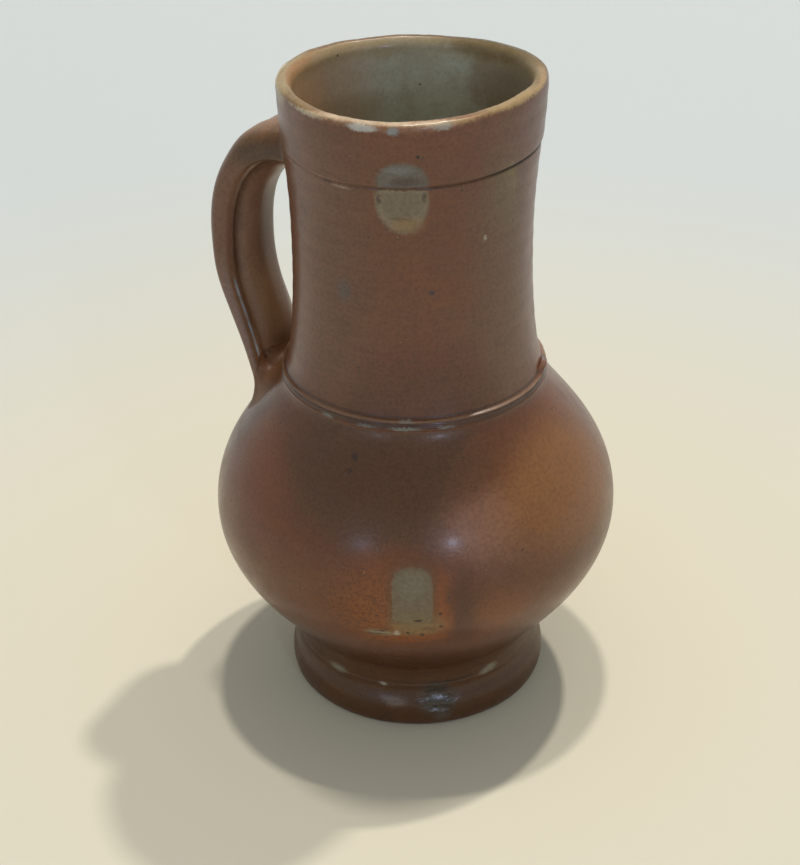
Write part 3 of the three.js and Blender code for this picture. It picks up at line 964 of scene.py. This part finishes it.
neckLook = {
    "base": "#704226", "drift": "#774729", "cloud": "#69462b", "cloudShare": 0.5, "lines": 0.16,
    "mottle": 0.26, "mottleColour": "#8c7468", "wander": 7, "rough": 0.34, "peel": 0.045, "coat": 0.2,
    "speck": "#3c2a22", "grit": "#a98d70",
    "washes": [
        area(-18, 143.8, 30.5, 5.5, 9, "#705f38", strength=0.65),
        area(-14, 147, 30.5, 2.0, 4, "#86723a", strength=0.5),
        area(-100, 125, 30, 11, 40, "#6a5038", edge=0.7, strength=0.4),
        area(-20, 115, 30, 10, 40, "#70553a", edge=0.7, strength=0.6),
        area(-62, 96, 31, 24, 12, "#603820", strength=0.7),
    ],
    # the grey-green glaze inside, lightened as painted light for the light that falls in through the mouth
    "inside": "#b4b6a3", "insideCloud": "#aaa692", "insideRough": 0.45,
    "insideWashes": [
        # the back wall inside, paler still as painted light where light through the mouth falls on it
        area(125, 120, 26, 26, 15, "#dcdfcc", edge=0.8, strength=0.9),
        area(172, 148, 27, 20, 30, "#b5967a", edge=0.8, strength=0.85),
        area(190, 155, 27, 12, 14, "#b98450", edge=0.7, strength=0.6),
        area(45, 145, 27, 24, 32, "#7d6a52", edge=0.8, strength=0.9),
        ring(164.5, 4.0, "#a3895c", edge=0.7, strength=0.75),
        area(-167, 164.2, 28.6, 13, 2.6, "#b07c4e", through=3, strength=0.65),
        area(72, 164.2, 28.6, 15, 2.4, "#6f5d36", through=4, edge=0.8, strength=0.8),
    ],
    "marks": [
        # lip
        ring(165.8, 1.3, "#937a4c", edge=0.35, strength=0.9),
        area(-70, 165.2, 30, 30, 1.6, "#94694a", through=9, edge=0.4, strength=0.8),
        area(-163, 164.2, 28.4, 16, 3, "#a8926a", through=2.6, edge=0.4, strength=0.9),
        *lipWearAndHighlight,
        area(70, 165.0, 30, 15, 2.6, "#64552f", through=5, edge=0.8, strength=0.9),
        area(110, 165.3, 31, 3, 0.9, "#55482f", through=3, edge=0.8, strength=0.6),
        area(-10, 165.4, 31, 14, 1.3, "#b79a6c", through=5, edge=0.4, strength=0.7),
        # incised line, painted darker as shade in its groove
        area(10, 149.65, 31, 26, 0.42, "#35231a", through=14, edge=0.5, strength=0.75, clean=True),
        area(-66, 149.65, 31, 12, 0.4, "#3c2a20", through=9, edge=0.5, strength=0.55),
        area(-96, 148.8, 30, 2.2, 0.35, "#a68d7c", strength=0.5),
        area(-103, 149.3, 30, 1.6, 0.3, "#35251d", strength=0.6),
        # kiln scar below the line, and above it
        area(-69, 146.6, 30.9, 6.0, 8.0, "#86755a", below=149.3, edge=0.12, rough=0.55),
        area(-69, 146.5, 30.9, 4.9, 5.2, "#77674f", below=148.9, edge=0.4, strength=0.9),
        area(-67, 140.6, 30.9, 3.4, 1.8, "#8d6c42", strength=0.7),
        area(-70, 142.2, 30.9, 2.6, 0.3, "#6b5236", strength=0.6),
        area(-78.8, 146.9, 31, 0.5, 1.3, "#46352a", edge=0.5, strength=0.75),
        area(-59.6, 147.4, 31, 0.45, 1.2, "#46352a", edge=0.5, strength=0.7),
        area(-68.7, 151.4, 31.5, 5.8, 4.8, "#685d50", above=150.1, edge=0.16, rough=0.36),
        area(-67, 151.5, 31.5, 3.4, 1.1, "#4f3d31", strength=0.8),
        # painted highlight near the top of the upper scar
        area(-70, 154.4, 31.5, 3.0, 0.9, "#7c7a70", strength=0.6),
        # chips on the lip
        area(-84.6, 164.2, 31.6, 3.4, 0.8, "#c2bdb0", edge=0.4, strength=0.85),
        area(-71.9, 163.8, 31.6, 1.2, 0.9, "#8f9490", edge=0.5, strength=0.8),
        area(-51.7, 164.2, 31.6, 2.2, 0.7, "#b3ab9c", edge=0.5, strength=0.7),
        # stains and pits
        area(-56.3, 123.3, 29.3, 0.7, 0.5, "#3a3334", edge=0.5, strength=0.8),
        area(-97.9, 122.2, 29.3, 1.6, 2.6, "#57504a", edge=0.8, strength=0.6),
        area(-30.1, 134.8, 29.6, 0.5, 0.6, "#a89f8a", edge=0.5, strength=0.8),
        area(-62.2, 157.7, 31.9, 0.4, 0.4, "#33241d", edge=0.4),
        # cordon: painted shade in the grooves below and above the main bead, a pale top on the main bead
        # that is partly thin glaze and partly painted highlight, and pale grey dashes on the beads, partly
        # grey glaze and partly painted highlight
        ring(90.1, 0.7, "#3e2a1f", strength=0.7, clean=True),
        ring(92.0, 0.3, "#38251b", strength=0.6, clean=True),
        ring(91.32, 0.2, "#a07c60", strength=0.75, clean=True),
        area(-103.8, 89.4, 33.5, 1.6, 0.4, "#7f8078", strength=0.8),
        area(-85.5, 89.4, 33.5, 2.4, 0.3, "#7f8078", strength=0.6),
        area(-68.8, 89.4, 33.5, 3.4, 0.35, "#85857b", strength=0.8),
        area(-51.6, 89.4, 33.5, 1.8, 0.3, "#7f8078", strength=0.6),
        area(-68.5, 91.2, 34, 1.8, 0.35, "#9a978a", strength=0.8),
    ],
}

bellyLook = {
    "base": "#6a4025", "drift": "#724223", "cloud": "#653c22", "cloudShare": 0.45, "lines": 0.08,
    "mottle": 0.25, "mottleColour": "#86695a", "wander": 8, "rough": 0.31, "peel": 0.045, "coat": 0.12,
    "speck": "#3c2a22", "grit": "#a98d70",
    "freckled": [
        area(-76, 47, 51, 12, 11, strength=1.1),
    ],
    "washes": [
        # painted shade: the belly's underside, darker towards the foot
        area(0, 20, 0, 80, 16, "#4b2a16", through=80, edge=0.5, strength=0.9),
        # painted shadow: the neck's cast shadow darkening the front of the shoulder
        area(-79, 82, 38, 27, 21, "#5f4029", through=20, edge=0.3, strength=0.85),
        area(-73, 50, 51, 11, 14, "#864a1a", strength=0.8),
        area(-52, 46, 51, 4, 12, "#4c2a18", edge=0.7, strength=0.7),
        area(-40, 46, 51, 7, 6, "#7f4820", edge=0.7, strength=0.6),
        # painted light: a lighter mauve brown where the shoulder right of the neck's shadow is lit
        area(-44, 70, 47, 9, 12, "#8c624b", strength=0.85),
        area(-58.2, 51, 51, 2.4, 9, "#914a18", edge=0.7, strength=0.6),
        area(-66, 40.2, 50.5, 8, 1.8, "#8c4a1c", edge=0.7, strength=0.6),
        area(-10, 72, 48, 25, 17, "#88592d", through=14, edge=0.4, strength=0.85),
        area(-125, 74, 46, 12, 20, "#744226", through=14, strength=0.6),
    ],
    "inside": "#8b8570", "insideCloud": "#747059", "insideRough": 0.45, "insideWashes": [],
    "marks": [
        # kiln scar and what ran down from it
        area(-65, 45.0, 51, 6.2, 3.9, "#83683f", edge=0.45, rough=0.5, strength=0.85),
        area(-75.2, 41.8, 50.5, 3.4, 1.1, "#8d7f63", rough=0.6, strength=0.8),
        area(-66, 52.6, 51.3, 5.3, 8.9, "#6b4526", above=45.4, edge=0.3, strength=0.7, square=True),
        area(-66, 52, 51.3, 4.6, 8.6, "#74634b", above=46, edge=0.14, rough=0.6, square=True),
        area(-66, 56.5, 51.3, 3.2, 3.6, "#79715f", edge=0.8, strength=0.7),
        area(-65.5, 46.6, 51.3, 4.2, 2.0, "#7a6746", edge=0.7, strength=0.7),
        # pits round the scar
        area(-64.5, 46.4, 51.3, 1.0, 0.32, "#33231b", edge=0.5),
        area(-58.6, 48.6, 51.3, 0.45, 0.45, "#33231b", edge=0.5),
        area(-58.2, 44.2, 51.3, 0.5, 0.4, "#33231b", edge=0.5),
        area(-63.5, 41.4, 51, 0.55, 0.4, "#33231b", edge=0.5),
        area(-67.5, 42.2, 51, 0.5, 0.4, "#33231b", edge=0.5),
        area(-61.5, 43.6, 51, 1.5, 0.5, "#6b4a2c", strength=0.8),
        # scrape beside the scar, and stains on the shoulder
        area(-76.4, 41.2, 50.5, 2.4, 0.25, "#2f2019", edge=0.5, strength=0.9),
        area(-74.6, 42.6, 50.5, 1.8, 0.22, "#2f2019", edge=0.5, strength=0.8),
        area(-70.5, 41.9, 50.5, 0.7, 1.0, "#b5a98e", strength=0.7),
        area(-87.8, 82.7, 37, 0.8, 0.7, "#33292a", strength=0.7),
        area(-88, 79.8, 39, 0.5, 0.5, "#33292a", strength=0.7),
    ],
}


def onStrap(share, across, patch):
    c = across ** (1 / strap["roundness"])
    spot = strapPoint(share, c, -math.sqrt(1 - c * c))
    turn = math.degrees(math.atan2(spot.y, spot.x))
    return dict(patch, turn=turn, level=spot.z, radius=math.hypot(spot.x, spot.y))


# Painted shade along the near crease, and a thin pale bluish painted highlight down the ridge beside it
creaseShade = {"across": 1.1, "up": 2.6, "through": 1.3, "colour": "#4a3426", "edge": 0.9, "strength": 0.5}
ridgeHighlight = {"across": 0.3, "up": 1.9, "through": 0.7, "colour": "#b4c0c6", "edge": 0.8}
alongCrease = [onStrap(0.1 + 0.045 * step, strap["creaseAcross"], creaseShade) for step in range(11)]
alongRidge = [
    onStrap(0.61 + 0.025 * step, 0.85, dict(ridgeHighlight, strength=0.55 + 0.3 * math.sin(step * 2.3)))
    for step in range(11)
]

handleLook = {
    "base": "#7c573d", "drift": "#77523b", "cloud": "#7d5b3d", "cloudShare": 0.45, "lines": 0.06,
    "mottle": 0.28, "mottleColour": "#86695a", "wander": 5, "rough": 0.32, "peel": 0.045, "coat": 0.05,
    "speck": "#3c2a22", "grit": "#a98d70",
    "washes": [
        # painted light: the strap's top, lighter where light falls on it near the root
        area(180, 155, 40, 22, 9, "#94632f", through=14, edge=0.5, strength=0.85),
        # painted shade: the strap's near side by the root, darkened where the neck shades it
        area(-162, 145, 37, 7, 5, "#5a422b", through=9, edge=0.5, strength=0.85),
        area(180, 80, 44, 20, 9, "#7e5535", through=14, edge=0.8),
        *alongCrease,
    ],
    # the inner face's brown: its own colour, lightened as painted light where it lies in shade
    "inside": "#8e6a52", "insideCloud": "#84614a", "insideRough": 0.34,
    "insideWashes": [
        area(183, 101, 42, 9, 12, "#94704e", through=9, edge=0.7, strength=0.8),
        area(180, 82, 38, 20, 9, "#8c6544", through=14, edge=0.8),
        *alongCrease,
    ],
    # painted highlight down the near ridge
    "runs": alongRidge,
    "marks": [
        # painted highlight down the near ridge's lower half, on glossier glaze
        area(-163.5, 101, 44.5, 3.2, 17, "#7f6358", through=9, edge=0.4, rough=0.14),
    ],
}

# The clay at the landing runs out over the belly with the belly's washes and mottling, in a lighter brown:
# partly the fillet's own olive brown, partly painted light where light falls on it.
landingLook = dict(bellyLook, base="#7c5638", drift="#744d31", marks=[], freckled=[], rough=0.5, coat=0.0)
landingLook.pop("inside")

footLook = {
    # the foot's brown, painted darker as shade for the belly's shadow over it
    "base": "#5c3a1e", "drift": "#55351c", "cloud": "#4e321f", "cloudShare": 0.45, "lines": 0.2,
    "mottle": 0.25, "mottleColour": "#80665a", "wander": 6, "rough": 0.34, "peel": 0.06, "coat": 0.06,
    "speck": "#33241d", "grit": "#96816a",
    "washes": [],
    "marks": [
        # chip
        area(-56, 7.4, 33.6, 4.6, 3.4, "#45403a", rough=0.2, strength=0.85),
        area(-57, 11.4, 32.8, 3.4, 1.6, "#3e3730", strength=0.8),
        area(-54, 3.2, 33.8, 2.0, 1.2, "#5c564b", edge=0.7, strength=0.6),
        # pale streaks on the ledge, partly paler glaze and partly painted highlight, painted shade along its
        # edge, a glossier place below it painted paler where it glints, and a pale dot of painted highlight
        area(-105.7, 12.4, 32, 2.4, 0.9, "#85806d", edge=0.8, strength=0.8),
        area(-31.5, 12.6, 32, 1.4, 0.8, "#85806d", edge=0.8, strength=0.8),
        area(-28.0, 13.2, 32, 1.6, 0.9, "#85806d", edge=0.8, strength=0.8),
        area(-46, 12.6, 32, 4, 0.4, "#2c1e16", edge=0.8, strength=0.6),
        area(-75, 7.6, 33.8, 2.6, 1.2, "#75655a", edge=0.7, rough=0.13, strength=0.85),
        area(-81, 11.9, 32.4, 0.8, 0.5, "#a39d90", edge=0.8, strength=0.8),
    ],
}

neckGlaze = glazed("salt glaze, neck", neckLook)
bellyGlaze = glazed("salt glaze, belly", bellyLook)
handleGlaze = glazed("salt glaze, handle", handleLook)
footGlaze = glazed("salt glaze, foot", footLook)
landingGlaze = glazed("salt glaze, landing", landingLook)

makeFoot(footGlaze)
makeBelly(bellyGlaze)
makeNeck(neckGlaze)
makeCordon(neckGlaze)
makeHandle(handleGlaze)
makeClay(rootClay, handleGlaze)
makeClay(landingClay, landingGlaze)

# Stage: a pale paper cove, cooler far from the jug
studio = {
    "coveRadius": 3400,
    "coveBend": 800,
    "coveHeight": 2400,
    "floor": "#ddd8c4",
    "farFloor": "#cbd3d6",
    "air": "#fff9f2",
    "nearBy": 50,
    "farOff": 400,
    "viewTurn": 25.2,
    "ambient": 0.36,
}


def makeFloor():
    wide, bending = studio["coveRadius"], studio["coveBend"]
    profile = joined(
        [at(0, 0), at(150, 0), at(500, 0), at(wide - bending, 0)],
        corner(at(wide - bending, 0), at(wide, 0), at(wide, bending), 16),
        [at(wide, studio["coveHeight"])],
    )
    paper = bpy.data.materials.new("matt paper, pale")
    paper.use_nodes = True
    tree = paper.node_tree
    shader = tree.nodes["Principled BSDF"]
    coords = addNode(tree, "ShaderNodeTexCoord")
    away = addNode(tree, "ShaderNodeVectorMath", {0: coords.outputs["Object"]}, operation="LENGTH")
    far = addNode(tree, "ShaderNodeMapRange", {
        0: away.outputs["Value"], 1: studio["nearBy"] * millimetre, 2: studio["farOff"] * millimetre,
    }, **smooth).outputs[0]
    colour = painted(tree, hexColour(studio["floor"]), [(far, hexColour(studio["farFloor"]))])
    tree.links.new(colour, shader.inputs["Base Color"])
    shader.inputs["Roughness"].default_value = 0.9
    shader.inputs["Specular IOR Level"].default_value = 0.1
    placed("floor", turnedOnWheel(profile, 96, False), paper)


# Lamps: bearing and height are seen from the jug, bearing 0 to the right of the view and 90 straight behind.
# share is the part of full white that the lamp alone would give a surface that faces it.
lamps = {
    "lamp overhead": {
        "bearing": 82, "height": 79, "distance": 5, "size": 0.3, "share": 0.36, "colour": "#fff9f1",
    },
    "lamp right": {
        "bearing": 52, "height": 66, "distance": 5, "size": 0.22, "share": 0.38, "colour": "#fff7ec",
    },
    "glint left": {
        "bearing": -120, "height": 14, "distance": 1.4, "size": 0.2, "share": 0.035, "colour": "#c4d5ff",
    },
    "glint right": {
        "bearing": -70, "height": 17, "distance": 1.4, "size": 0.12, "share": 0.085, "colour": "#c9dbff",
    },
}


def makeLamp(name, lamp):
    light = bpy.data.lights.new(name, "AREA")
    light.shape = "DISK"
    light.size = lamp["size"]
    light.energy = lamp["share"] * (math.pi * lamp["distance"]) ** 2
    light.color = hexColour(lamp["colour"])[:3]
    holder = bpy.data.objects.new(name, light)
    bearing = math.radians(lamp["bearing"] + studio["viewTurn"])
    height = math.radians(lamp["height"])
    away = Vector((
        math.cos(bearing) * math.cos(height), math.sin(bearing) * math.cos(height), math.sin(height),
    ))
    holder.location = away * lamp["distance"] + Vector((0, 0, 0.08))
    holder.rotation_euler = away.to_track_quat("Z", "Y").to_euler()
    holder.visible_camera = False
    bpy.context.scene.collection.objects.link(holder)


def makeWorld():
    world = bpy.data.worlds.new("studio air")
    world.use_nodes = True
    tree = world.node_tree
    background = tree.nodes["Background"]
    background.inputs["Color"].default_value = hexColour(studio["air"])
    background.inputs["Strength"].default_value = studio["ambient"]
    bpy.context.scene.world = world


# Camera where the photograph was taken from
camera = {
    "place": (0.1765, -0.3750, 0.3125),
    "lens": 77.58,
    "turn": 25.73,
    "pitch": -30.41,
    "roll": -1.0,
}


def makeCamera():
    data = bpy.data.cameras.new("camera")
    data.lens = camera["lens"]
    data.sensor_width = 36
    data.clip_start = 0.01
    holder = bpy.data.objects.new("camera", data)
    holder.matrix_world = (
        Matrix.Translation(camera["place"])
        @ Matrix.Rotation(math.radians(camera["turn"]), 4, "Z")
        @ Matrix.Rotation(math.radians(90 + camera["pitch"]), 4, "X")
        @ Matrix.Rotation(math.radians(camera["roll"]), 4, "Z")
    )
    bpy.context.scene.collection.objects.link(holder)
    bpy.context.scene.camera = holder


makeFloor()
for name, lamp in lamps.items():
    makeLamp(name, lamp)
makeWorld()
makeCamera()
bpy.context.scene.view_settings.view_transform = "Standard"
print("stage lit")
